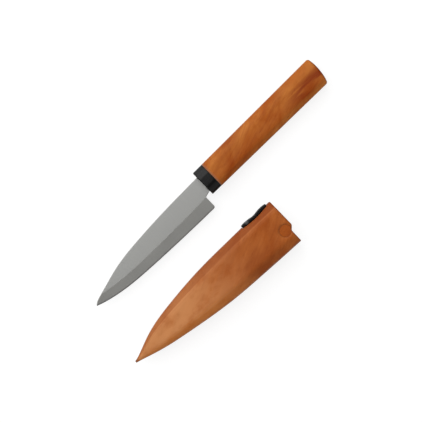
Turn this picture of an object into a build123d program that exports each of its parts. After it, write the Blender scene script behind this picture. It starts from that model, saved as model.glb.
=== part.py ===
from build123d import *

import os
from math import cos, hypot, radians, sin

# A paring knife and its carved wooden sheath, lying side by side on a table.

# Knife, driving sizes
# Lengths run along the handle's axis from the front face of the ferrule, heights from that axis.
reach = 104.7
neck_length = 4.6
spine_height = 5.6
neck_drop = 6.4
heel_drop = 16.6
tip_drop = 8.4
blade_thick = 1.8
tip_thick = 1.3

# Outline of the blade
# Each pair is a share of the reach and a share of the whole fall or rise of that curve.
spine_curve_shares = ((0.25, 0.035), (0.50, 0.135), (0.745, 0.36), (0.925, 0.73))
edge_curve_shares = ((0.37, 0.06), (0.62, 0.18), (0.87, 0.53))
# Directions in which each curve leaves the handle and reaches the tip
spine_direction_shares = ((-1, -0.02), (-0.62, -1))
edge_direction_shares = ((-1, 0), (-1, 0.42))
heel_radius = 1.5
notch_drop = 7.7
notch_radius = 0.8

# Bevels
bevel_height = 8.8
edge_thick = 0.36
cutting_bevel_height = 0.7
cutting_edge_thick = 0.12

# Tang
tang_length = 62.0
tang_half_height = 4.0
tang_end_half_height = 2.6
tang_clearance = 0.15

# Ferrule and handle, which share one tapering eight-sided body
haft_thick = 15.0
ferrule_height = 18.7
butt_height = 20.2
ferrule_length = 8.0
handle_length = 97.8
face_flat_half = 3.2
face_crown = 0.45
facet_height = 3.2
facet_thick = 3.1
butt_dome_radius = 42.0
butt_dome_offset = 3.0
haft_edge_radius = 1.8
ferrule_edge_chamfer = 0.35

# Sheath, driving sizes
# Its axis runs from the nose to the mouth, and its heights are measured from that axis.
sheath_length = 134.5
sheath_thick = 20.0
sheath_spine_height = 15.3
sheath_edge_drop = 17.8
mouth_step_back = 2.7
mouth_step_drop = 5.5
mouth_step_radius = 1.6
mouth_rim_chamfer = 0.4

# Sections of the sheath, evenly spaced from the nose to the sawn end beyond the mouth
# Each row is a share of the spine height, of the edge drop and of the thickness.
sawn_length = 2.7
sheath_section_shares = (
    (0.065, 0.020, 0.11),
    (0.470, 0.295, 0.49),
    (0.735, 0.497, 0.73),
    (0.875, 0.657, 0.89),
    (0.967, 0.790, 0.98),
    (0.997, 0.870, 1.015),
    (1.000, 0.916, 1.02),
    (1.000, 0.955, 1.02),
    (1.000, 1.000, 1.02),
)
bevel_height_share = 0.20
bevel_thick_share = 0.42
corner_cut_share = 0.27
# Lowest corner of the mouth's step, as a share of the edge drop
mouth_low_share = 0.976

# Fit of the knife in the sheath
seat_depth = 10.5
seat_turn = -2.5
seat_height = 3.2
socket_clearance = 0.3
slot_clearance = 0.7
slot_side_clearance = 0.4

# Wooden plug
plug_radius = 4.0
plug_thick = 2.0
plug_setback = 5.8
plug_drop = 5.5
plug_clearance = 0.05

# Catch lever
# It rocks on a pin across the sheath, and its heights are measured from the sheath's spine.
lever_half_width = 4.0
lever_pivot_setback = 13.9
lever_pivot_depth = 3.2
thumb_reach = 10.5
catch_reach = 10.8
waist_crest = 0.62
waist_half_length = 2.2
waist_rise = 0.22
belly_drop = 1.7
thumb_end_top = 1.25
thumb_end_bottom = -0.75
catch_end_top = 0.75
catch_end_bottom = -0.8
lever_end_radius = 0.5
lever_edge_chamfer = 0.4
thumb_dish_radius = 9.0
thumb_dish_bottom = 1.0
thumb_dish_setback = 6.8
lug_radius = 1.3
lug_half_width = 2.0
nose_setback = 5.0
nose_half_length = 1.0
nose_half_width = 2.4
nose_bite = 0.25
nose_lead_radius = 0.5
seat_gap = 0.45
cheek_gap = 0.1
thumb_travel = 1.0

# Pivot pin and return spring
pin_radius = 0.6
pin_half_length = 6.5
pin_fit_clearance = 0.02
pin_running_clearance = 0.06
spring_radius = 1.2
spring_wire_radius = 0.2
spring_wire_sides = 6
spring_turns = 4
spring_setback = 6.6
spring_pocket_depth = 4.9
spring_cup_depth = 1.0
spring_pocket_clearance = 0.3
spring_end_gap = 0.03
points_per_turn = 24

# Layout on the table
lay_spacing = 52.4
lay_offset = 7.2
lay_turn = -0.5

cut_overrun = 30.0

haft_length = ferrule_length + handle_length
haft_swell = (butt_height - ferrule_height) / 2 / haft_length

# The nose stands in the way of the ferrule by its bite when the knife is pushed in.
nose_reach = lever_pivot_setback - nose_setback
nose_seat = seat_depth - nose_setback
haft_top = (
    (ferrule_height / 2 + haft_swell * nose_seat) * cos(radians(seat_turn))
    + nose_seat * sin(radians(seat_turn))
)
nose_depth = sheath_spine_height - seat_height - haft_top + nose_bite

# Each bevel: half the thickness that it starts from at the edge, its height, and what it gains over it
main_slope = (blade_thick - edge_thick) / 2 / bevel_height
cutting_gain = (edge_thick - cutting_edge_thick) / 2 + main_slope * cutting_bevel_height
bevels = (
    (edge_thick / 2, bevel_height, main_slope * bevel_height),
    (cutting_edge_thick / 2, cutting_bevel_height, cutting_gain),
)

# The origin is on the table, in the middle of the box round knife and sheath.
back = haft_length
front = -(reach + lay_offset)
left = butt_height / 2
low_corner = (
    sheath_edge_drop * mouth_low_share * cos(radians(lay_turn))
    - (sheath_length - mouth_step_back) * sin(radians(lay_turn))
)
right = -(lay_spacing + low_corner)
knife_x = -(back + front) / 2
knife_y = -(left + right) / 2

KNIFE = Plane(origin=(knife_x, knife_y, haft_thick / 2), x_dir=(1, 0, 0), z_dir=(0, 0, 1))
SHEATH = Plane(
    origin=(knife_x + front, knife_y - lay_spacing, sheath_thick / 2),
    x_dir=(cos(radians(lay_turn)), sin(radians(lay_turn)), 0),
    z_dir=(0, 0, 1),
)
# Where the front face of the ferrule comes to stand inside the sheath
SEAT = Plane(
    origin=SHEATH.from_local_coords(Vector(sheath_length - seat_depth, seat_height, 0)),
    x_dir=(cos(radians(lay_turn + seat_turn)), sin(radians(lay_turn + seat_turn)), 0),
    z_dir=(0, 0, 1),
)

# The catch lever's own frame, on the spine of the sheath above the pivot
LEVER = Plane(
    origin=SHEATH.from_local_coords(Vector(sheath_length - lever_pivot_setback, sheath_spine_height, 0)),
    x_dir=SHEATH.x_dir,
    z_dir=SHEATH.z_dir,
)

os.makedirs("parts", exist_ok=True)


def across(frame, distance):
    """Plane square to a frame's axis, with its own X along the height and Y along the thickness."""
    return Plane(origin=frame.origin + frame.x_dir * distance, x_dir=frame.y_dir, z_dir=frame.x_dir)


def edge_on(frame):
    """Plane that shows a frame's length and thickness, seen from its spine."""
    return Plane(origin=frame.origin, x_dir=frame.x_dir, z_dir=-frame.y_dir)


def spine_curve(clearance=0.0):
    """Spine of the blade, from the ferrule to the tip, moved outwards by a clearance."""
    length = reach + clearance
    start = spine_height + clearance
    fall = start + tip_drop
    middle = [(-length * along, start - fall * down) for along, down in spine_curve_shares]
    return Spline((0, start), *middle, (-length, -tip_drop), tangents=spine_direction_shares)


def edge_curve(clearance=0.0):
    """Cutting edge, from the heel to the tip, moved outwards by a clearance."""
    length = reach + clearance
    start = -heel_drop - clearance
    rise = -tip_drop - start
    middle = [(-length * along, start + rise * up) for along, up in edge_curve_shares]
    return Spline((-neck_length, start), *middle, (-length, -tip_drop), tangents=edge_direction_shares)


def tang_hole():
    """Plan of the hole for the tang, through the ferrule and into the handle."""
    with BuildSketch(KNIFE) as hole:
        with BuildLine():
            Polyline(
                (0, tang_half_height),
                (tang_length, tang_end_half_height),
                (tang_length, -tang_end_half_height),
                (0, -tang_half_height),
                close=True,
            )
        make_face()
        offset(amount=tang_clearance)
    return hole.sketch


def haft_section(frame, distance, clearance=0.0):
    """Eight-sided section of ferrule and handle: crowned faces, corner facets and flat edges."""
    half_height = ferrule_height / 2 + haft_swell * distance + clearance
    half_thick = haft_thick / 2 + clearance
    shoulder = (half_height - facet_height, half_thick - face_crown)
    facet_end = (half_height, half_thick - facet_thick)
    with BuildSketch(across(frame, distance)) as section:
        with BuildLine():
            TangentArc((face_flat_half, half_thick), shoulder, tangent=(1, 0))
            Line(shoulder, facet_end)
            mirror(about=Plane.XZ)
            Line(facet_end, (half_height, -facet_end[1]))
            mirror(about=Plane.YZ)
            Line((-face_flat_half, half_thick), (face_flat_half, half_thick))
            Line((-face_flat_half, -half_thick), (face_flat_half, -half_thick))
        make_face()
    return section.sketch


def on_facet(edge):
    """Whether a long edge of the haft bounds one of its corner facets."""
    return abs(edge.center().Y - knife_y) > ferrule_height / 2 - facet_height


def sheath_section(step, spine_share, edge_share, thick_share):
    """Section of the sheath: flat faces, wide bevels to spine and edge, every corner eased by a small cut."""
    distance = (sheath_length + sawn_length) * step / (len(sheath_section_shares) - 1)
    top = sheath_spine_height * spine_share
    bottom = -sheath_edge_drop * edge_share
    half_thick = sheath_thick / 2 * thick_share
    bevel_high = (top - bottom) * bevel_height_share
    bevel_deep = half_thick * bevel_thick_share
    side = half_thick - bevel_deep
    with BuildSketch(across(SHEATH, distance)) as section:
        with BuildLine():
            Polyline(
                (top, side),
                (top - bevel_high, half_thick),
                (bottom + bevel_high, half_thick),
                (bottom, side),
                (bottom, -side),
                (bottom + bevel_high, -half_thick),
                (top - bevel_high, -half_thick),
                (top, -side),
                close=True,
            )
        make_face()
        chamfer(section.vertices(), length=min(bevel_high, bevel_deep) * corner_cut_share)
    return section.sketch


def faces_mouth(face):
    """Whether a face of the sheath belongs to its stepped mouth."""
    return SHEATH.to_local_coords(face.center()).X > sheath_length - mouth_step_back - mouth_rim_chamfer


def looking_into_spine(depth):
    """Plane parallel to the sheath's spine above the pivot, that deep below it, facing outwards."""
    return Plane(origin=LEVER.origin - LEVER.y_dir * depth, x_dir=LEVER.x_dir, z_dir=LEVER.y_dir)


def lever_belly(gap=0.0, travel=0.0):
    """Arc under the lever from thumb end to catch end, lowered by a gap and by the thumb end's travel."""
    return ThreePointArc(
        (-thumb_reach - gap, thumb_end_bottom - gap - travel),
        (0, -belly_drop - gap),
        (catch_reach + gap, catch_end_bottom - gap),
    )


def above_belly(gap, travel=0.0):
    """Region above the lever's belly, lowered by a gap and by the travel of the thumb end."""
    with BuildSketch(LEVER) as region:
        with BuildLine():
            belly = lever_belly(gap, travel)
            Polyline(
                belly @ 0,
                (-thumb_reach - gap, cut_overrun),
                (catch_reach + gap, cut_overrun),
                belly @ 1,
            )
        make_face()
    return region.sketch


# Blade
# The outline carries the hidden tang. Bevels are cut by regions under the edge, pushed along each slope.
with BuildPart() as blade:
    with BuildSketch(KNIFE) as blade_outline:
        with BuildLine():
            spine_curve()
            edge_curve()
            Polyline(
                (-neck_length, -heel_drop),
                (-neck_length, -notch_drop),
                (0, -neck_drop),
                (0, -tang_half_height),
                (tang_length, -tang_end_half_height),
                (tang_length, tang_end_half_height),
                (0, tang_half_height),
                (0, spine_height),
            )
        make_face()
        heel_corner = blade_outline.vertices().sort_by_distance((-neck_length, -heel_drop))[0]
        fillet(heel_corner, radius=heel_radius)
        notch_corner = blade_outline.vertices().sort_by_distance((-neck_length, -notch_drop))[0]
        fillet(notch_corner, radius=notch_radius)
    extrude(amount=blade_thick, both=True)
    with BuildSketch(edge_on(KNIFE)):
        with BuildLine():
            Polyline(
                (tang_length, blade_thick / 2),
                (0, blade_thick / 2),
                (-reach, tip_thick / 2),
                (-reach, -tip_thick / 2),
                (0, -blade_thick / 2),
                (tang_length, -blade_thick / 2),
                close=True,
            )
        make_face()
    extrude(amount=cut_overrun, both=True, mode=Mode.INTERSECT)
    for side in (1, -1):
        for half_thick, height, growth in bevels:
            with BuildSketch(KNIFE.offset(side * half_thick)):
                with BuildLine():
                    edge_curve()
                    Polyline(
                        (-reach, -tip_drop),
                        (-reach, -cut_overrun),
                        (neck_length, -cut_overrun),
                        (neck_length, -heel_drop),
                        (-neck_length, -heel_drop),
                    )
                make_face()
            extrude(amount=2 * bevel_height, dir=(0, height, side * growth), mode=Mode.SUBTRACT)

# Haft, shaped in one piece before it is parted into ferrule and handle
with BuildPart() as haft:
    loft([haft_section(KNIFE, 0), haft_section(KNIFE, haft_length)], ruled=True)
    with BuildSketch(KNIFE):
        with Locations((haft_length - butt_dome_radius, butt_dome_offset)):
            Circle(butt_dome_radius)
            Rectangle(haft_length, 2 * butt_dome_radius, align=(Align.MAX, Align.CENTER))
    extrude(amount=haft_thick, both=True, mode=Mode.INTERSECT)
    long_edges = haft.edges().filter_by(lambda edge: edge.length > handle_length)
    facet_edges = long_edges.filter_by(on_facet)
    rim_edges = haft.faces().sort_by(Axis.X)[-1].edges()
    fillet(facet_edges + rim_edges, radius=haft_edge_radius)
    chamfer(haft.faces().sort_by(Axis.X)[0].edges(), length=ferrule_edge_chamfer)
    extrude(tang_hole(), amount=blade_thick / 2 + tang_clearance, both=True, mode=Mode.SUBTRACT)

# Ferrule
with BuildPart() as ferrule:
    add(haft.part)
    split(bisect_by=across(KNIFE, ferrule_length), keep=Keep.BOTTOM)

# Handle
with BuildPart() as handle:
    add(haft.part)
    split(bisect_by=across(KNIFE, ferrule_length), keep=Keep.TOP)

# Sheath, carved whole before it is parted on its middle plane
with BuildPart() as sheath_blank:
    loft([sheath_section(step, *shares) for step, shares in enumerate(sheath_section_shares)])
    with BuildSketch(across(SHEATH, 0)):
        Rectangle(2 * cut_overrun, sheath_thick)
    extrude(amount=2 * sheath_length, mode=Mode.INTERSECT)
    with BuildSketch(SHEATH) as mouth_cut:
        with BuildLine():
            Polyline(
                (sheath_length, cut_overrun),
                (sheath_length, -mouth_step_drop),
                (sheath_length - mouth_step_back, -mouth_step_drop - mouth_step_back),
                (sheath_length - mouth_step_back, -cut_overrun),
                (sheath_length + cut_overrun, -cut_overrun),
                (sheath_length + cut_overrun, cut_overrun),
                close=True,
            )
        make_face()
        step_top = mouth_cut.vertices().sort_by_distance((sheath_length, -mouth_step_drop))[0]
        fillet(step_top, radius=mouth_step_radius)
        step_foot = (sheath_length - mouth_step_back, -mouth_step_drop - mouth_step_back)
        fillet(mouth_cut.vertices().sort_by_distance(step_foot)[0], radius=mouth_step_radius)
    extrude(amount=sheath_thick, both=True, mode=Mode.SUBTRACT)
    mouth_faces = sheath_blank.faces().filter_by(faces_mouth)
    mouth_edges = mouth_faces.edges()
    chamfer([edge for edge in mouth_edges if mouth_edges.count(edge) == 1], length=mouth_rim_chamfer)
    socket_ends = (-socket_clearance, seat_depth + cut_overrun)
    loft([haft_section(SEAT, end, socket_clearance) for end in socket_ends], ruled=True, mode=Mode.SUBTRACT)
    with BuildSketch(SEAT):
        with BuildLine():
            slot_top = spine_curve(slot_clearance)
            slot_bottom = edge_curve(slot_clearance)
            Polyline(
                slot_bottom @ 0,
                (seat_depth, -heel_drop - slot_clearance),
                (seat_depth, spine_height + slot_clearance),
                slot_top @ 0,
            )
        make_face()
    extrude(amount=blade_thick / 2 + slot_side_clearance, both=True, mode=Mode.SUBTRACT)

    # The spine is scooped out under the lever, and a pocket between two cheeks leaves it room to rock.
    extrude(above_belly(cheek_gap), amount=sheath_thick, both=True, mode=Mode.SUBTRACT)
    pocket_half_width = lever_half_width + seat_gap
    extrude(above_belly(seat_gap, thumb_travel), amount=pocket_half_width, both=True, mode=Mode.SUBTRACT)
    with BuildSketch(looking_into_spine(lever_pivot_depth + lug_radius + seat_gap)):
        Rectangle(2 * (lug_radius + seat_gap), 2 * (lug_half_width + seat_gap))
    extrude(amount=lever_pivot_depth + lug_radius, mode=Mode.SUBTRACT)
    with BuildSketch(looking_into_spine(nose_depth + socket_clearance)):
        with Locations((nose_reach, 0)):
            Rectangle(2 * (nose_half_length + seat_gap), 2 * (nose_half_width + seat_gap))
    extrude(amount=nose_depth, mode=Mode.SUBTRACT)
    with BuildSketch(looking_into_spine(spring_pocket_depth)):
        with Locations((-spring_setback, 0)):
            Circle(spring_radius + spring_wire_radius + spring_pocket_clearance)
    extrude(amount=spring_pocket_depth, mode=Mode.SUBTRACT)
    with BuildSketch(LEVER):
        with Locations((0, -lever_pivot_depth)):
            Circle(pin_radius + pin_fit_clearance)
    extrude(amount=pin_half_length + pin_fit_clearance, both=True, mode=Mode.SUBTRACT)

# Sheath halves
with BuildPart() as sheath_upper_half:
    add(sheath_blank.part)
    split(bisect_by=SHEATH, keep=Keep.TOP)
    with BuildSketch(SHEATH.offset(sheath_thick / 2)):
        with Locations((sheath_length - plug_setback, -plug_drop)):
            Circle(plug_radius + plug_clearance)
    extrude(amount=-plug_thick, mode=Mode.SUBTRACT)

with BuildPart() as sheath_lower_half:
    add(sheath_blank.part)
    split(bisect_by=SHEATH, keep=Keep.BOTTOM)

# Plug
with BuildPart() as sheath_plug:
    with BuildSketch(SHEATH.offset(sheath_thick / 2)):
        with Locations((sheath_length - plug_setback, -plug_drop)):
            Circle(plug_radius)
    extrude(amount=-plug_thick)

# Catch lever
# Two lobes over one round belly, a lug for the pin under the waist and a nose that grips the ferrule.
with BuildPart() as catch_lever:
    with BuildSketch(LEVER) as lever_side:
        with BuildLine():
            belly = lever_belly()
            waist_arc = ThreePointArc(
                (-waist_half_length, waist_crest + waist_rise),
                (0, waist_crest),
                (waist_half_length, waist_crest + waist_rise),
            )
            catch_crest = TangentArc(waist_arc @ 1, (catch_reach, catch_end_top), tangent=waist_arc % 1)
            thumb_crest = TangentArc(waist_arc @ 0, (-thumb_reach, thumb_end_top), tangent=waist_arc % 0 * -1)
            Line(belly @ 1, catch_crest @ 1)
            Line(thumb_crest @ 1, belly @ 0)
        make_face()
        end_corners = lever_side.vertices().sort_by(Axis.X)
        fillet(end_corners[:2] + end_corners[-2:], radius=lever_end_radius)
    extrude(amount=lever_half_width, both=True)
    chamfer(catch_lever.faces().filter_by(Axis.Z).edges(), length=lever_edge_chamfer)
    with BuildSketch(LEVER):
        with Locations((0, -lever_pivot_depth)):
            Circle(lug_radius)
            Rectangle(2 * lug_radius, lever_pivot_depth, align=(Align.CENTER, Align.MIN))
    extrude(amount=lug_half_width, both=True)
    with BuildSketch(LEVER) as nose_side:
        with Locations((nose_reach, -nose_depth)):
            Rectangle(2 * nose_half_length, nose_depth, align=(Align.CENTER, Align.MIN))
        lead_corner = nose_side.vertices().sort_by_distance((nose_reach + nose_half_length, -nose_depth))[0]
        fillet(lead_corner, radius=nose_lead_radius)
    extrude(amount=nose_half_width, both=True)
    with BuildSketch(LEVER):
        with Locations((0, -lever_pivot_depth)):
            Circle(pin_radius + pin_running_clearance)
    extrude(amount=lever_half_width, both=True, mode=Mode.SUBTRACT)
    with BuildSketch(looking_into_spine(spring_cup_depth)):
        with Locations((-spring_setback, 0)):
            Circle(spring_radius + spring_wire_radius + spring_pocket_clearance)
    extrude(amount=-belly_drop, mode=Mode.SUBTRACT)
    dish_centre = Vector(-thumb_dish_setback, thumb_dish_bottom + thumb_dish_radius, 0)
    with Locations(LEVER.from_local_coords(dish_centre)):
        Sphere(thumb_dish_radius, mode=Mode.SUBTRACT)

# Pivot pin
with BuildPart() as lever_pin:
    with BuildSketch(LEVER):
        with Locations((0, -lever_pivot_depth)):
            Circle(pin_radius)
    extrude(amount=pin_half_length, both=True)

# Return spring
# Every half turn is a half circle, tilted so that it runs on into the next.
spring_height = spring_pocket_depth - spring_cup_depth - 2 * (spring_wire_radius + spring_end_gap)
spring_foot = looking_into_spine(spring_pocket_depth - spring_wire_radius - spring_end_gap)
half_turn_rise = spring_height / spring_turns / 2
arc_reach = hypot(spring_radius, half_turn_rise / 2)
with BuildPart() as lever_spring:
    with BuildLine(spring_foot) as coil:
        for step in range(2 * spring_turns):
            side = (-1) ** step
            ThreePointArc(
                (-spring_setback + side * spring_radius, 0, step * half_turn_rise),
                (-spring_setback, side * arc_reach, (step + 1 / 2) * half_turn_rise),
                (-spring_setback - side * spring_radius, 0, (step + 1) * half_turn_rise),
            )
    with BuildSketch(Plane(origin=coil.line @ 0, z_dir=coil.line % 0)):
        RegularPolygon(spring_wire_radius, side_count=spring_wire_sides)
    sweep(path=coil.line)

# Least gap between the turns, on points of the wire that lie half a turn or more apart
coil_steps = spring_turns * points_per_turn
coil_points = [coil.line @ (step / coil_steps) for step in range(coil_steps + 1)]
coil_gaps = [
    (later - earlier).length - 2 * spring_wire_radius
    for place, earlier in enumerate(coil_points)
    for later in coil_points[place + points_per_turn // 2:]
]
print("lever_spring least gap", round(min(coil_gaps), 2))

pieces = {
    "blade": blade,
    "ferrule": ferrule,
    "handle": handle,
    "sheath_upper_half": sheath_upper_half,
    "sheath_lower_half": sheath_lower_half,
    "sheath_plug": sheath_plug,
    "catch_lever": catch_lever,
    "lever_pin": lever_pin,
    "lever_spring": lever_spring,
}
for name, piece in pieces.items():
    piece.part.label = name
    export_step(piece.part, f"parts/{name}.step")
    print(name, round(piece.part.volume), len(piece.part.solids()), piece.part.is_valid)
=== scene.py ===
import math

import bpy
import numpy as np
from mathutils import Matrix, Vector


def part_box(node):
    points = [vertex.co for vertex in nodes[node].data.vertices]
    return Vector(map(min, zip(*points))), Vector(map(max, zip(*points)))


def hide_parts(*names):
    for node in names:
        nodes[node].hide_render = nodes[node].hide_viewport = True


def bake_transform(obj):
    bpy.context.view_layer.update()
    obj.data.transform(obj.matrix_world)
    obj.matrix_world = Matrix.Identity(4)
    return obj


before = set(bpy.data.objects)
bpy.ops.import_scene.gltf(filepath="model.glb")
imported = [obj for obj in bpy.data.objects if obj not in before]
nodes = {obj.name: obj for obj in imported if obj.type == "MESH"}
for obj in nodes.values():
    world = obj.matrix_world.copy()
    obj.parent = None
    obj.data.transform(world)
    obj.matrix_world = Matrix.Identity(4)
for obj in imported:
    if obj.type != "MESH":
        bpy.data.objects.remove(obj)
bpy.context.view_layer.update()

# Looks of a paring knife and its wooden sheath, lying side by side. Lengths are in metres.
MM = 0.001

# What the photograph shows, in its own pixels and in real size
PHOTO_WIDTH = 423
MM_PER_PIXEL = 0.65
KNIFE_TURN = math.radians(44.5)
VIEW_CENTRE = (-5.5 * MM, 13.6 * MM)
CAMERA_HEIGHT = 1.5

# Floor: how far it reaches and lies below the pieces, its grey, and how bright it is seen
FLOOR_HALF_WIDTH = 1.2
FLOOR_GAP = 0.05 * MM
FLOOR_GREY = 0.24
FLOOR_GLOW = 0.83

# Surroundings: darker overhead than at the sides, as in a studio
ZENITH_LEVEL = 0.20
HORIZON_LEVEL = 0.40

# Lamps: how far off they stand, the side they stand on, and each one's tilt from overhead
LAMP_DISTANCE = 1.2
UPPER_LEFT = math.radians(135)
KEY_TILT = math.radians(36)
KEY_SIZE = 1.6
KEY_POWER = 16.2
SIDE_TILT = math.radians(78)
SIDE_SIZE = 0.5
SIDE_POWER = 1.0
FILL_TILT = math.radians(-50)
FILL_SIZE = 1.6
FILL_POWER = 2.2

# Wood: how much steeper its cloudy patches lie than its streaks, how fine its pores are, and how
# its growth lines are spaced, lean with height, and are pushed aside by the patches
PATCH_STEEPER = 0.8
PORE_FINENESS = 1300.0
LINE_SPACING = 3.4 * MM
LINE_LEAN = 0.5
LINE_PUSH = 22 * MM

# How far the rounded normal agrees with the true one where an edge's wear, which on wood is
# also painted sheen, starts and is full
EDGE_AGREEMENT = (0.995, 0.86)

# Sheath: between which places along X it turns pale, with a whitish tint of painted sheen, the painted
# shade and the painted highlight strip on its spine's facet change towards the mouth, and its belly's
# facet turns orange
PALE_ALONG = (8 * MM, -70 * MM)
MOUTH_ALONG = (-60 * MM, 15 * MM)
ORANGE_ALONG = (0.0, -60 * MM)

# Sheath: between which heights the painted highlight strip on the spine's facet comes in
HIGHLIGHT_STRIP_HEIGHTS = (18.7 * MM, 19.5 * MM)

# Sheath: how far from the seam and from the plug's rim their lines fade in, and the dark tip's length
SEAM_FADE = (0.14 * MM, 0.04 * MM)
RING_FADE = (0.5 * MM, 0.05 * MM)
TIP_LENGTH = 4 * MM

# The middle of the dark cloud on the sheath, and one over its half lengths, at any height
DARK_CLOUD_PLACE = (-6 * MM, -32 * MM, 10 * MM)
DARK_CLOUD_SHAPE = (1 / (15 * MM), 1 / (8 * MM), 0)

# Handle: how far from the butt's end its look there starts and is full, and how far from the
# ferrule the paler joint starts and is full
BUTT_START = 40 * MM
BUTT_FULL = 12 * MM
JOINT_START = 1.8 * MM
JOINT_FULL = 0.1 * MM

# Handle: between which distances from its middle, towards the spine, the streaks and the painted
# shade come in, the lowest facet ends, and the outer edges' wear and painted sheen start on both
# sides
STREAKS_ACROSS = (5 * MM, -1 * MM)
PAINTED_SHADE_ACROSS = (5 * MM, -5 * MM)
LOWEST_FACET_END = (-8.5 * MM, -6 * MM)
OUTER_EDGES_START = (7.5 * MM, 8.8 * MM)

# How upright the steel faces where its bevel, and then its edge, take over from the flat
BEVEL_UPRIGHT = (0.9990, 0.9975)
EDGE_UPRIGHT = (0.985, 0.975)

# Where a grey glint is painted on the catch's thumb lobe, and how far from its middle this starts and is full
GLINT_PLACE = (5.7 * MM, -7.2 * MM, 14 * MM)
GLINT_REACH = 2.0 * MM
GLINT_CORE = 0.3 * MM

# Return spring of the catch, and how far its end turns close up
SPRING_TURNS = 4
SPRING_WIRE_RADIUS = 0.2 * MM
END_TURNS_CLOSE = 0.5
STEPS_PER_TURN = 32
WIRE_SIDES = 12

# Colours of the finishes
SHEATH_LIGHT = (0.44, 0.120, 0.022)
SHEATH_MIDDLE = (0.35, 0.074, 0.007)
SHEATH_DARK = (0.21, 0.034, 0.003)
PLUG_LIGHT = (0.39, 0.090, 0.010)
# Pale tone of the sheath's wood, whose whitish tint is painted sheen; also the painted highlight strip
SHEATH_PALE_AND_SHEEN = (0.605, 0.256, 0.095)
SHEATH_ORANGE = (0.66, 0.19, 0.02)
HANDLE_LIGHT = (0.505, 0.157, 0.024)
HANDLE_MIDDLE = (0.37, 0.079, 0.004)
HANDLE_DARK = (0.21, 0.024, 0.001)
STEEL_FLAT = (0.300, 0.300, 0.289)
STEEL_BEVEL = (0.375, 0.371, 0.352)
STEEL_EDGE = (0.20, 0.20, 0.20)
# Paler worn wood, also used as painted sheen along edges
WOOD_WEAR_AND_SHEEN = (0.30, 0.155, 0.10)
END_DARK = (0.08, 0.012, 0.002)
OIL_TINT = (1.0, 0.76, 0.58)
HORN_BLACK = (0.0030, 0.0030, 0.0028)
HORN_STREAK = (0.007, 0.006, 0.006)
HORN_WORN = (0.05, 0.05, 0.048)
# Painted glint on the catch's thumb lobe
HORN_GLINT = (0.10, 0.10, 0.10)


def add_node(tree, kind, inputs=None, **settings):
    """Adds a shader node with its settings, and fills its inputs with values or with links."""
    made = tree.nodes.new("ShaderNode" + kind)
    for setting, value in settings.items():
        setattr(made, setting, value)
    for socket, value in (inputs or {}).items():
        if isinstance(value, bpy.types.NodeSocket):
            tree.links.new(value, made.inputs[socket])
        else:
            made.inputs[socket].default_value = value
    return made


def calculate(tree, operation, *values):
    """A sum, difference or other operation on values and sockets."""
    return add_node(tree, "Math", dict(enumerate(values)), operation=operation).outputs[0]


def product(tree, first, second):
    """One value times another."""
    return calculate(tree, "MULTIPLY", first, second)


def scaled(tree, value, factor, start=0.0):
    """A value times a factor, from a start."""
    return calculate(tree, "MULTIPLY_ADD", value, factor, start)


def split_up(tree, vector):
    """The X, Y and Z of a vector."""
    return add_node(tree, "SeparateXYZ", {0: vector}).outputs


def work_out(tree, operation, *vectors):
    """An operation on vectors, which gives a Vector or a Value."""
    return add_node(tree, "VectorMath", dict(enumerate(vectors)), operation=operation).outputs


def true_normal(tree):
    """The way the surface itself faces, without bumps."""
    return add_node(tree, "NewGeometry").outputs["Normal"]


def smooth_mask(tree, value, start, full):
    """A mask that goes smoothly from 0 at one value to 1 at another, which may be the lesser."""
    inputs = {"Value": value, "From Min": start, "From Max": full}
    return add_node(tree, "MapRange", inputs, interpolation_type="SMOOTHSTEP").outputs["Result"]


def along_x(tree, place, start, full):
    """A mask that goes from 0 to 1 between two places along X."""
    return smooth_mask(tree, split_up(tree, place)["X"], start, full)


def mixed(tree, share, first, second):
    """Two colours mixed by a share."""
    made = add_node(tree, "Mix", {0: share}, data_type="RGBA")
    for slot, value in ((6, first), (7, second)):
        if isinstance(value, bpy.types.NodeSocket):
            tree.links.new(value, made.inputs[slot])
        else:
            made.inputs[slot].default_value = (*value, 1)
    return made.outputs[2]


def stained(tree, colour, stain, mask, share):
    """A colour with a stain over it, as strong as a mask times a share."""
    return mixed(tree, scaled(tree, mask, share), colour, stain)


def noise(tree, place, scale, stretch=(1, 1, 1), detail=3.0, roughness=0.55, distortion=0.0):
    """Noise whose spots are drawn out along each axis by one over its stretch."""
    mapped = add_node(tree, "Mapping", {"Vector": place, "Scale": stretch}).outputs[0]
    inputs = {
        "Vector": mapped,
        "Scale": scale,
        "Detail": detail,
        "Roughness": roughness,
        "Distortion": distortion,
    }
    return add_node(tree, "TexNoise", inputs).outputs["Fac"]


def new_group(name, inputs, outputs):
    """An empty node group with named inputs and outputs, each with its kind."""
    group = bpy.data.node_groups.new(name, "ShaderNodeTree")
    for label, kind in inputs.items():
        group.interface.new_socket(label, in_out="INPUT", socket_type="NodeSocket" + kind)
    for label, kind in outputs.items():
        group.interface.new_socket(label, in_out="OUTPUT", socket_type="NodeSocket" + kind)
    given = group.nodes.new("NodeGroupInput").outputs
    out = group.nodes.new("NodeGroupOutput").inputs
    return group, given, out


def use_group(tree, group, inputs):
    """A group placed in a material with its own values."""
    made = tree.nodes.new("ShaderNodeGroup")
    made.node_tree = group
    for socket, value in inputs.items():
        if isinstance(value, bpy.types.NodeSocket):
            tree.links.new(value, made.inputs[socket])
        else:
            made.inputs[socket].default_value = (*value, 1) if isinstance(value, tuple) else value
    return made.outputs


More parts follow.
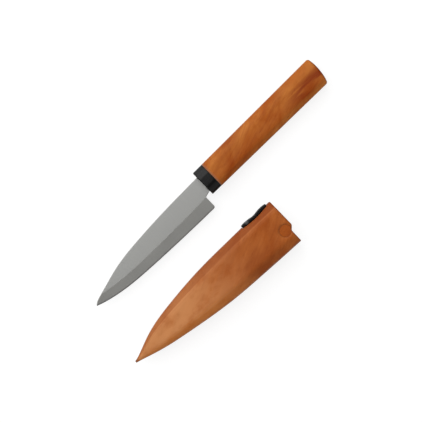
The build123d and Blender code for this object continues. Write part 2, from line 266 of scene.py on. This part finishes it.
def wood_figure_group():
    """Figure of oiled wood that grows along X.

    Soft clouds and darker bands lie at a slant to X. Faint growth lines, streaks, fine fibres
    and sparse pores follow a lesser slant.
    """
    inputs = {
        "Place": "Vector",
        "Light": "Color",
        "Middle": "Color",
        "Dark": "Color",
        "Slant": "Float",
        "Band": "Float",
        "Line": "Float",
        "Pore": "Float",
    }
    outputs = {"Color": "Color", "Roughness": "Float", "Height": "Float"}
    group, given, out = new_group("wood_figure", inputs, outputs)
    dark = given["Dark"]
    split = split_up(group, given["Place"])
    lean = product(group, split["X"], given["Slant"])
    across = calculate(group, "SUBTRACT", split["Y"], lean)
    place = add_node(group, "CombineXYZ", {0: split["X"], 1: across, 2: split["Z"]}).outputs[0]

    steep = calculate(group, "SUBTRACT", across, scaled(group, lean, PATCH_STEEPER))
    steep_place = add_node(group, "CombineXYZ", {0: split["X"], 1: steep, 2: split["Z"]}).outputs[0]

    clouds = noise(group, steep_place, scale=95.0, stretch=(0.45, 0.8, 1), detail=4.0, distortion=0.5)
    patches = noise(group, steep_place, scale=42.0, stretch=(0.60, 0.7, 1), detail=2.0, distortion=0.8)
    streaks = noise(group, place, scale=170.0, stretch=(0.09, 1, 1), detail=4.0, roughness=0.6)
    fibres = noise(group, place, scale=900.0, stretch=(0.04, 1, 1), roughness=0.6)
    vessels = noise(group, place, scale=PORE_FINENESS, stretch=(0.11, 1, 1), detail=1.0)
    pores = smooth_mask(group, vessels, start=0.68, full=0.76)

    push = scaled(group, patches, LINE_PUSH)
    leaning = calculate(group, "ADD", across, scaled(group, split["Z"], LINE_LEAN))
    phase = calculate(group, "ADD", leaning, push)
    wave = calculate(group, "SINE", scaled(group, phase, 2 * math.pi / LINE_SPACING))
    lines = smooth_mask(group, wave, start=0.0, full=1.0)

    colour = mixed(group, smooth_mask(group, clouds, start=0.34, full=0.66), given["Middle"], given["Light"])
    band = product(group, smooth_mask(group, patches, start=0.50, full=0.66), given["Band"])
    colour = mixed(group, band, colour, dark)
    colour = stained(group, colour, dark, smooth_mask(group, streaks, start=0.46, full=0.72), share=0.30)
    colour = mixed(group, product(group, lines, given["Line"]), colour, dark)
    colour = stained(group, colour, dark, smooth_mask(group, fibres, start=0.35, full=0.70), share=0.14)
    colour = mixed(group, product(group, pores, given["Pore"]), colour, dark)
    group.links.new(colour, out["Color"])
    group.links.new(scaled(group, fibres, factor=0.14, start=0.36), out["Roughness"])
    group.links.new(calculate(group, "SUBTRACT", scaled(group, fibres, factor=0.5), pores), out["Height"])
    return group


def rounding_group():
    """The normal rounded over a radius at every edge, and a patchy mask of how near an edge is."""
    inputs = {"Radius": "Float", "Place": "Vector"}
    outputs = {"Edge Wear And Sheen": "Float", "Normal": "Vector"}
    group, given, out = new_group("rounding", inputs, outputs)
    rounded = add_node(group, "Bevel", {"Radius": given["Radius"]}, samples=8).outputs["Normal"]
    agreement = work_out(group, "DOT_PRODUCT", rounded, true_normal(group))["Value"]
    near = smooth_mask(group, agreement, *EDGE_AGREEMENT)
    patchy = smooth_mask(group, noise(group, given["Place"], scale=420.0), start=0.25, full=0.75)
    group.links.new(product(group, near, patchy), out["Edge Wear And Sheen"])
    group.links.new(rounded, out["Normal"])
    return group


WOOD_FIGURE = wood_figure_group()
ROUNDING = rounding_group()


def new_material(name):
    """A material with its tree, its shader, and Object coordinates."""
    material = bpy.data.materials.new(name)
    material.use_nodes = True
    tree = material.node_tree
    shader = tree.nodes["Principled BSDF"]
    place = add_node(tree, "TexCoord").outputs["Object"]
    return material, tree, shader, place


def feed(tree, shader, colour, roughness, height, strength, depth, normal):
    """Links colour, roughness, and a bump of a height on a normal, to the shader."""
    inputs = {"Height": height, "Strength": strength, "Distance": depth, "Normal": normal}
    tree.links.new(colour, shader.inputs["Base Color"])
    tree.links.new(roughness, shader.inputs["Roughness"])
    tree.links.new(add_node(tree, "Bump", inputs).outputs["Normal"], shader.inputs["Normal"])


def end_grain(tree):
    """A mask of faces that cut across the fibres."""
    across = calculate(tree, "ABSOLUTE", split_up(tree, true_normal(tree))["X"])
    return smooth_mask(tree, across, start=0.55, full=0.75)


def wood(name, shades, shift, slant, band, line, pore, round_radius, finish):
    """Oiled wood: a figure in three shades, softened edges, what a finish adds, and end grain.

    The end grain is darker, with small dark vessels.
    """
    material, tree, shader, place = new_material(name)
    moved = add_node(tree, "Mapping", {"Vector": place, "Location": shift}).outputs[0]
    light, middle, dark = shades
    inputs = {
        "Place": moved,
        "Light": light,
        "Middle": middle,
        "Dark": dark,
        "Slant": slant,
        "Band": band,
        "Line": line,
        "Pore": pore,
    }
    figure = use_group(tree, WOOD_FIGURE, inputs)
    edges = use_group(tree, ROUNDING, {"Radius": round_radius, "Place": place})
    colour = finish(tree, place, figure["Color"], edges["Edge Wear And Sheen"])
    cut = end_grain(tree)
    colour = stained(tree, colour, dark, cut, share=0.6)
    vessels = noise(tree, place, scale=PORE_FINENESS, stretch=(0.1, 1, 1), detail=1.0)
    vessels = product(tree, smooth_mask(tree, vessels, start=0.52, full=0.66), cut)
    colour = stained(tree, colour, END_DARK, vessels, share=0.5)
    feed(
        tree,
        shader,
        colour,
        figure["Roughness"],
        figure["Height"],
        strength=0.25,
        depth=0.05 * MM,
        normal=edges["Normal"],
    )
    shader.inputs["Specular IOR Level"].default_value = 0.2
    shader.inputs["Specular Tint"].default_value = (*OIL_TINT, 1)
    return material


def sheath_finish(tree, place, colour, edge_wear_and_sheen):
    """What the sheath adds to the wood's figure.

    It is paler towards the nose, with a whitish tint that is painted sheen, and its belly's facet
    is more orange there. The spine's facet has painted shade, but for a painted highlight strip
    along its top near the mouth. Then come a darker cloud by the belly, behind the mouth, the seam
    of the two halves, the plug's ring, paler worn edges that are partly painted sheen, and a
    darker tip.
    """
    speckle = noise(tree, place, scale=120.0, stretch=(0.6, 1, 1), detail=5.0)
    facing = split_up(tree, true_normal(tree))
    flat_face = smooth_mask(tree, calculate(tree, "ABSOLUTE", facing["Z"]), start=0.70, full=0.97)
    to_belly = smooth_mask(tree, facing["Y"], start=-0.20, full=-0.45)
    to_spine = smooth_mask(tree, facing["Y"], start=0.20, full=0.50)
    near_mouth = along_x(tree, place, *MOUTH_ALONG)
    split = split_up(tree, place)

    # Paler tone towards the nose, whose whitish tint is painted sheen
    pale = product(tree, along_x(tree, place, *PALE_ALONG), smooth_mask(tree, speckle, start=0.10, full=0.60))
    paler = calculate(tree, "MAXIMUM", flat_face, scaled(tree, to_belly, factor=0.6))
    pale = product(tree, pale, scaled(tree, paler, factor=0.45, start=0.55))
    colour = stained(tree, colour, SHEATH_PALE_AND_SHEEN, pale, share=0.85)
    belly = product(tree, to_belly, along_x(tree, place, *ORANGE_ALONG))
    colour = stained(tree, colour, SHEATH_ORANGE, belly, share=0.45)

    # Painted shade on the spine's facet, and a painted highlight strip along its top near the mouth
    painted_strip = product(tree, near_mouth, smooth_mask(tree, split["Z"], *HIGHLIGHT_STRIP_HEIGHTS))
    painted_strip = product(tree, painted_strip, to_spine)
    painted_spine_shade = calculate(tree, "SUBTRACT", to_spine, painted_strip)
    painted_spine_shade = product(tree, painted_spine_shade, scaled(tree, near_mouth, factor=0.24, start=0.30))
    colour = mixed(tree, painted_spine_shade, colour, SHEATH_DARK)
    colour = stained(tree, colour, SHEATH_PALE_AND_SHEEN, painted_strip, share=0.18)

    away = work_out(tree, "SUBTRACT", place, DARK_CLOUD_PLACE)["Vector"]
    away = work_out(tree, "MULTIPLY", away, DARK_CLOUD_SHAPE)["Vector"]
    away = work_out(tree, "LENGTH", away)["Value"]
    away = calculate(tree, "ADD", away, scaled(tree, speckle, factor=1.2, start=-0.6))
    cloud = smooth_mask(tree, away, start=1.5, full=0.4)
    colour = stained(tree, colour, SHEATH_DARK, cloud, share=0.5)

    off_seam = calculate(tree, "ABSOLUTE", scaled(tree, split["Z"], factor=1.0, start=-seam_height))
    seam = smooth_mask(tree, off_seam, *SEAM_FADE)
    colour = stained(tree, colour, SHEATH_DARK, seam, share=0.6)

    offset = work_out(tree, "SUBTRACT", place, tuple(plug_centre))["Vector"]
    flat = work_out(tree, "MULTIPLY", offset, (1, 1, 0))["Vector"]
    distance = work_out(tree, "LENGTH", flat)["Value"]
    off_ring = calculate(tree, "ABSOLUTE", scaled(tree, distance, factor=1.0, start=-plug_radius))
    ring = smooth_mask(tree, off_ring, *RING_FADE)
    colour = stained(tree, colour, SHEATH_DARK, ring, share=0.25)

    # Paler worn edges, which are partly painted sheen along the outlines and beside the spine
    colour = stained(tree, colour, WOOD_WEAR_AND_SHEEN, edge_wear_and_sheen, share=0.12)
    tip = along_x(tree, place, sheath_nose + TIP_LENGTH, sheath_nose)
    return stained(tree, colour, SHEATH_DARK, tip, share=0.65)


def handle_finish(tree, place, colour, edge_wear_and_sheen):
    """What the handle adds to the wood's figure.

    It is paler towards the butt, and has painted shade on the belly's side, which has dark
    streaks near the butt instead. The lowest facet there catches light and has neither painted
    shade nor streaks. The joint with the ferrule is worn, and the outer edges are worn paler,
    partly as painted sheen.
    """
    across = split_up(tree, place)["Y"]
    streak = smooth_mask(tree, noise(tree, place, scale=330.0, stretch=(0.10, 1, 1)), start=0.44, full=0.58)
    near_butt = along_x(tree, place, handle_high.x - BUTT_START, handle_high.x - BUTT_FULL)

    def over_width(start, full):
        """A mask that goes from 0 to 1 between two distances from the handle's middle."""
        return smooth_mask(tree, across, handle_middle.y + start, handle_middle.y + full)

    lit_facet = over_width(*LOWEST_FACET_END)
    low = product(tree, product(tree, over_width(*STREAKS_ACROSS), lit_facet), near_butt)
    light = calculate(tree, "SUBTRACT", near_butt, low)
    colour = stained(tree, colour, HANDLE_LIGHT, light, share=0.45)
    colour = stained(tree, colour, HANDLE_DARK, product(tree, streak, low), share=0.9)
    # Painted shade on the belly's side
    painted_belly_shade = product(tree, over_width(*PAINTED_SHADE_ACROSS), lit_facet)
    colour = stained(tree, colour, HANDLE_DARK, painted_belly_shade, share=0.32)
    joint = along_x(tree, place, joint_x + JOINT_START, joint_x + JOINT_FULL)
    colour = stained(tree, colour, WOOD_WEAR_AND_SHEEN, joint, share=0.6)
    off_middle = calculate(tree, "ABSOLUTE", scaled(tree, across, factor=1.0, start=-handle_middle.y))
    # Paler worn outer edges, partly painted sheen along the handle's outlines
    outer_wear_and_sheen = product(tree, edge_wear_and_sheen, smooth_mask(tree, off_middle, *OUTER_EDGES_START))
    return stained(tree, colour, WOOD_WEAR_AND_SHEEN, outer_wear_and_sheen, share=0.5)


def steel(name, flat_rough, bevel_rough):
    """Ground steel: faint lines across the length, a ground bevel, and a thin dark edge."""
    material, tree, shader, place = new_material(name)
    upright = calculate(tree, "ABSOLUTE", split_up(tree, true_normal(tree))["Z"])
    on_bevel = smooth_mask(tree, upright, *BEVEL_UPRIGHT)
    on_edge = smooth_mask(tree, upright, *EDGE_UPRIGHT)
    lines = noise(tree, place, scale=2400.0, stretch=(1.0, 0.03, 1.0))
    cloud = noise(tree, place, scale=60.0)
    colour = mixed(tree, on_bevel, STEEL_FLAT, STEEL_BEVEL)
    colour = stained(tree, colour, STEEL_EDGE, smooth_mask(tree, lines, start=0.3, full=0.7), share=0.10)
    colour = stained(tree, colour, STEEL_EDGE, on_edge, share=0.8)
    rough = scaled(tree, on_bevel, bevel_rough - flat_rough, start=flat_rough - 0.04)
    rough = calculate(tree, "ADD", rough, scaled(tree, cloud, factor=0.08))
    shader.inputs["Metallic"].default_value = 1.0
    edges = use_group(tree, ROUNDING, {"Radius": 0.5 * MM, "Place": place})
    feed(tree, shader, colour, rough, lines, strength=0.03, depth=0.01 * MM, normal=edges["Normal"])
    return material


def horn(name, roughness, round_radius, specular, glint_share=0.0):
    """Polished horn, nearly black, with faint streaks and worn edges.

    A place on it may have a grey glint painted on, which only the catch has.
    """
    material, tree, shader, place = new_material(name)
    streak = noise(tree, place, scale=260.0, stretch=(0.4, 1, 1), detail=4.0)
    colour = mixed(tree, smooth_mask(tree, streak, start=0.45, full=0.75), HORN_BLACK, HORN_STREAK)
    edges = use_group(tree, ROUNDING, {"Radius": round_radius, "Place": place})
    colour = stained(tree, colour, HORN_WORN, edges["Edge Wear And Sheen"], share=0.12)
    # A painted glint on the catch's thumb lobe, standing in for a highlight
    away = work_out(tree, "DISTANCE", place, GLINT_PLACE)["Value"]
    glint_mask = smooth_mask(tree, away, GLINT_REACH, GLINT_CORE)
    colour = stained(tree, colour, HORN_GLINT, glint_mask, share=glint_share)
    rough = scaled(tree, noise(tree, place, scale=150.0), factor=0.14, start=roughness)
    fine = noise(tree, place, scale=1500.0, stretch=(0.3, 1, 1))
    feed(tree, shader, colour, rough, fine, strength=0.08, depth=0.01 * MM, normal=edges["Normal"])
    shader.inputs["Specular IOR Level"].default_value = specular
    return material


def dress(material, *names):
    """Gives nodes their finish."""
    for name in names:
        mesh = nodes[name].data
        mesh.materials.clear()
        mesh.materials.append(material)


plug_low, plug_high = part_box("sheath_plug")
plug_centre = (plug_low + plug_high) / 2
plug_radius = (plug_high.x - plug_low.x) / 2
handle_low, handle_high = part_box("handle")
handle_middle = (handle_low + handle_high) / 2
joint_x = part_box("ferrule")[1].x
sheath_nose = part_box("sheath_upper_half")[0].x
seam_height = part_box("sheath_lower_half")[1].z

sheath_wood = wood(
    "sheath_wood",
    shades=(SHEATH_LIGHT, SHEATH_MIDDLE, SHEATH_DARK),
    shift=(0.91, -0.61, 0.51),
    slant=0.45,
    band=0.22,
    line=0.05,
    pore=0.5,
    round_radius=3.2 * MM,
    finish=sheath_finish,
)
plug_wood = wood(
    "plug_wood",
    shades=(PLUG_LIGHT, SHEATH_MIDDLE, SHEATH_DARK),
    shift=(0.1, 0.05, 0.0),
    slant=0.2,
    band=0.3,
    line=0.1,
    pore=0.5,
    round_radius=0.2 * MM,
    finish=sheath_finish,
)
handle_wood = wood(
    "handle_wood",
    shades=(HANDLE_LIGHT, HANDLE_MIDDLE, HANDLE_DARK),
    shift=(-0.82, -0.32, 0.22),
    slant=0.30,
    band=0.22,
    line=0.12,
    pore=0.5,
    round_radius=2.0 * MM,
    finish=handle_finish,
)
blade_steel = steel("blade_steel", flat_rough=0.29, bevel_rough=0.34)
pin_steel = steel("pin_steel", flat_rough=0.28, bevel_rough=0.30)
ferrule_horn = horn("ferrule_horn", roughness=0.03, round_radius=1.2 * MM, specular=0.24)
catch_horn = horn("catch_horn", roughness=0.06, round_radius=0.8 * MM, specular=0.35, glint_share=0.9)

dress(sheath_wood, "sheath_upper_half", "sheath_lower_half")
dress(plug_wood, "sheath_plug")
dress(handle_wood, "handle")
dress(blade_steel, "blade")
dress(pin_steel, "lever_pin")
dress(ferrule_horn, "ferrule")
dress(catch_horn, "catch_lever")


def make_spring():
    """Round wire wound into a spring along Y, whose end by the lever goes with the lever.

    The height over the turns is the share of the way less a part of its sine, so the end turns lie
    closer. Around each place of the wire, the skin is a circle square to the wire.
    """
    low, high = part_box("lever_spring")
    middle = (low + high) / 2
    coil_radius = (high.x - low.x) / 2 - SPRING_WIRE_RADIUS
    share = np.linspace(0, 1, SPRING_TURNS * STEPS_PER_TURN + 1)
    turn = 2 * np.pi * SPRING_TURNS * share
    rise = share - END_TURNS_CLOSE * np.sin(2 * np.pi * share) / (2 * np.pi)
    foot = low.y + SPRING_WIRE_RADIUS
    height = foot + (high.y - low.y - 2 * SPRING_WIRE_RADIUS) * rise
    outward = np.stack([np.cos(turn), np.zeros_like(turn), np.sin(turn)], axis=1)
    centre = coil_radius * outward + (middle.x, 0, middle.z)
    centre[:, 1] = height
    forward = np.gradient(centre, axis=0)
    forward /= np.linalg.norm(forward, axis=1, keepdims=True)
    sideways = np.cross(forward, outward)
    around = np.linspace(0, 2 * np.pi, WIRE_SIDES, endpoint=False)[None, :, None]
    skin = np.cos(around) * outward[:, None] + np.sin(around) * sideways[:, None]
    points = (centre[:, None] + SPRING_WIRE_RADIUS * skin).reshape(-1, 3)

    ring = np.arange(len(centre) - 1)[:, None] * WIRE_SIDES
    here = np.arange(WIRE_SIDES)[None]
    beside = (here + 1) % WIRE_SIDES
    corners = [ring + here, ring + beside, ring + beside + WIRE_SIDES, ring + here + WIRE_SIDES]
    faces = np.stack(corners, axis=2).reshape(-1, 4).tolist()
    faces.append(here[0, ::-1].tolist())
    faces.append((here[0] + len(points) - WIRE_SIDES).tolist())

    mesh = bpy.data.meshes.new("return_spring")
    mesh.from_pydata(points.tolist(), [], faces)
    mesh.polygons.foreach_set("use_smooth", [True] * len(faces))
    mesh.materials.append(pin_steel)
    spring = bpy.data.objects.new("return_spring", mesh)
    bpy.context.scene.collection.objects.link(spring)
    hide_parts("lever_spring")
    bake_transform(spring)


def make_floor():
    """A wide pale sheet that the camera and reflections see white, and that keeps a soft shadow."""
    half = FLOOR_HALF_WIDTH
    mesh = bpy.data.meshes.new("floor")
    corners = [(x * half, y * half, -FLOOR_GAP) for x, y in ((-1, -1), (1, -1), (1, 1), (-1, 1))]
    mesh.from_pydata(corners, [], [(0, 1, 2, 3)])
    floor = bpy.data.objects.new("floor", mesh)
    bpy.context.scene.collection.objects.link(floor)
    material, tree, shader, _ = new_material("pale_floor")
    shader.inputs["Base Color"].default_value = (FLOOR_GREY, FLOOR_GREY, FLOOR_GREY, 1)
    shader.inputs["Roughness"].default_value = 0.9
    shader.inputs["Specular IOR Level"].default_value = 0.0
    shader.inputs["Emission Color"].default_value = (1, 1, 1, 1)
    seen = add_node(tree, "LightPath").outputs
    either = calculate(tree, "MAXIMUM", seen["Is Camera Ray"], seen["Is Glossy Ray"])
    either = calculate(tree, "MAXIMUM", either, seen["Is Transmission Ray"])
    tree.links.new(scaled(tree, either, FLOOR_GLOW), shader.inputs["Emission Strength"])
    mesh.materials.append(material)


def make_world():
    """Surroundings that are darker overhead than at the horizon, and white to the camera.

    Their level goes from the horizon's to the zenith's with the square of the height.
    """
    world = bpy.data.worlds.new("studio")
    bpy.context.scene.world = world
    world.use_nodes = True
    tree = world.node_tree
    background = tree.nodes["Background"]
    direction = add_node(tree, "TexCoord").outputs["Generated"]
    height = split_up(tree, direction)["Z"]
    overhead = product(tree, height, height)
    level = scaled(tree, overhead, ZENITH_LEVEL - HORIZON_LEVEL, start=HORIZON_LEVEL)
    seen = add_node(tree, "LightPath").outputs["Is Camera Ray"]
    strength = calculate(tree, "MAXIMUM", seen, level)
    background.inputs["Color"].default_value = (1, 1, 1, 1)
    tree.links.new(strength, background.inputs["Strength"])


def make_lamp(name, tilt, size, power):
    """A square soft lamp that faces the middle.

    It is tilted from overhead towards the photograph's upper left, or away from it if the tilt is
    below 0.
    """
    turn = UPPER_LEFT - KNIFE_TURN
    sideways = LAMP_DISTANCE * math.sin(tilt)
    place = Vector((sideways * math.cos(turn), sideways * math.sin(turn), LAMP_DISTANCE * math.cos(tilt)))
    lamp = bpy.data.lights.new(name, "AREA")
    lamp.shape = "SQUARE"
    lamp.size = size
    lamp.energy = power
    made = bpy.data.objects.new(name, lamp)
    bpy.context.scene.collection.objects.link(made)
    made.location = place
    made.rotation_mode = "QUATERNION"
    made.rotation_quaternion = (-place).to_track_quat("-Z", "Y")


def make_camera():
    """A long lens that looks straight down, turned so that the knife points to the upper right."""
    camera = bpy.data.cameras.new("camera")
    made = bpy.data.objects.new("camera", camera)
    bpy.context.scene.collection.objects.link(made)
    blade_low, blade_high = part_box("blade")
    distance = CAMERA_HEIGHT - (blade_low.z + blade_high.z) / 2
    camera.lens = camera.sensor_width * distance / (PHOTO_WIDTH * MM_PER_PIXEL * MM)
    made.location = (*VIEW_CENTRE, CAMERA_HEIGHT)
    made.rotation_euler = (0, 0, -KNIFE_TURN)
    bpy.context.scene.camera = made


make_spring()
make_floor()
make_world()
make_lamp("key_lamp", KEY_TILT, KEY_SIZE, KEY_POWER)
make_lamp("side_lamp", SIDE_TILT, SIDE_SIZE, SIDE_POWER)
make_lamp("fill_lamp", FILL_TILT, FILL_SIZE, FILL_POWER)
make_camera()
bpy.context.scene.view_settings.view_transform = "Standard"
